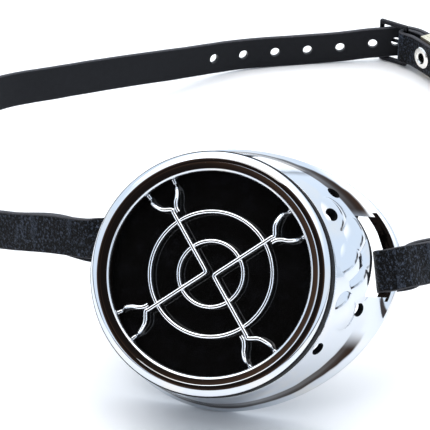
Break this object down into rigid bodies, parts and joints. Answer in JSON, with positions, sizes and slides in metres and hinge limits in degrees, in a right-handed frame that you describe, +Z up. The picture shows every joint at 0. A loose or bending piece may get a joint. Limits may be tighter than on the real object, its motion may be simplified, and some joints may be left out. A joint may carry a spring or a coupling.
{
  "type": "monocle",
  "caption": "Single-eye goggle worn as a monocle: flared plated eye cup, dark round lens in a screw-on ring with a clawed wire grille, and a leather strap with a buckle.",
  "frame": {"origin": "centre of the bounding box's bottom face, on the table that the goggle and its strap stand on", "axes": "+Z up; -Y towards the viewer, the side that the lens faces; +X to the viewer's right, towards the temple side of the cup"},
  "size_m": [0.1704, 0.2254, 0.0646],
  "materials": {
    "plated": "polished bright plating",
    "gasket": "matt",
    "lens": "polished, nearly black tint",
    "wire": "bright drawn wire",
    "strap": "grained outside, smooth inside",
    "fittings": "nickel plating"
  },
  "bodies": {
    "cup": {"eye_cup": "plated", "lens_gasket": "gasket", "lens": "lens", "strap_fold_left": "strap", "strap_fold_right": "strap"},
    "grille": {"wire_ring_small": "wire", "wire_ring_large": "wire", "wire_bar_left": "wire", "wire_bar_right": "wire", "claw_upper_left": "wire", "claw_upper_right": "wire", "claw_lower_left": "wire", "claw_lower_right": "wire"},
    "ring": {"lens_ring": "plated"},
    "strap": {"strap_long": "strap", "strap_long_tab": "strap", "strap_short": "strap", "strap_short_tab": "strap", "rivet_left": "fittings", "rivet_right": "fittings", "eyelet": "fittings", "keeper": "fittings", "buckle_frame": "fittings"},
    "prong": {"buckle_prong": "fittings"}
  },
  "joints": [
    {"name": "grille_lift", "type": "slide", "parent": "cup", "child": "grille", "axis": [0, -0.829, 0.5592], "range_m": [0, 0.003]},
    {"name": "ring_turn", "type": "hinge", "parent": "grille", "child": "ring", "pos_m": [0.0154, -0.07508, 0.0264], "axis": [0, -0.829, 0.5592], "range_deg": [0, 720]},
    {"name": "strap_tilt", "type": "hinge", "parent": "cup", "child": "strap", "pos_m": [0.0154, -0.0745, 0.034], "axis": [1, 0, 0], "range_deg": [-30, 15]},
    {"name": "buckle_prong", "type": "hinge", "parent": "strap", "child": "prong", "pos_m": [0.02659, 0.1069, 0.00712], "axis": [0, 0, -1], "range_deg": [0, 10]}
  ],
  "couplings": [
    {"joint": "grille_lift", "follows": "ring_turn", "m_per_rad": 0.0002387}
  ]
}
